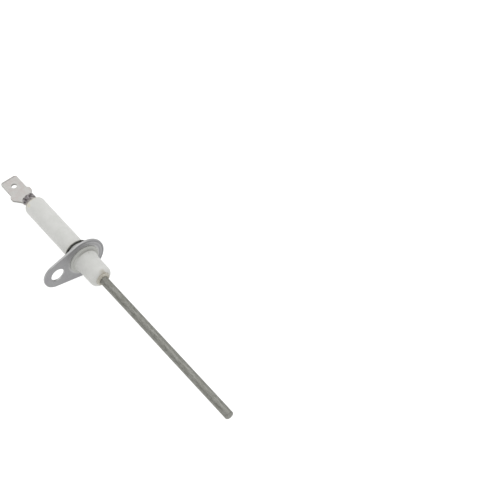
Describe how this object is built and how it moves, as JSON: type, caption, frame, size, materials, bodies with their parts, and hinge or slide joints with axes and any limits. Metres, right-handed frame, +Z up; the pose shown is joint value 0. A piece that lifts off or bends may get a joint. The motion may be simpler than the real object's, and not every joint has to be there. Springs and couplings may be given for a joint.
{
  "type": "flame sensor probe",
  "caption": "Flame sensor probe of a gas burner: bare sensing rod, ceramic insulator, one-screw mounting flange and flat quick-connect tab.",
  "frame": {"origin": "on the probe's axis, in the flange face that looks along the rod and lies against the burner bracket", "axes": "+X along the axis to the tip of the rod, -Y to the flange's screw ear, +Z up out of the flat of the terminal tab"},
  "size_m": [0.1272, 0.0235, 0.0158],
  "materials": {
    "resistance_alloy": "dull",
    "fired_ceramic": "matt",
    "refractory_cement": "rough",
    "flange_steel": "satin",
    "black_spring_steel": "dull",
    "plated_terminal": "satin"
  },
  "bodies": {
    "root": {"electrode_rod": "resistance_alloy", "ceramic_insulator": "fired_ceramic", "rod_cement": "refractory_cement", "terminal_cement": "refractory_cement", "mounting_flange": "flange_steel", "retaining_ring": "black_spring_steel", "terminal_tab": "plated_terminal"}
  },
  "joints": []
}
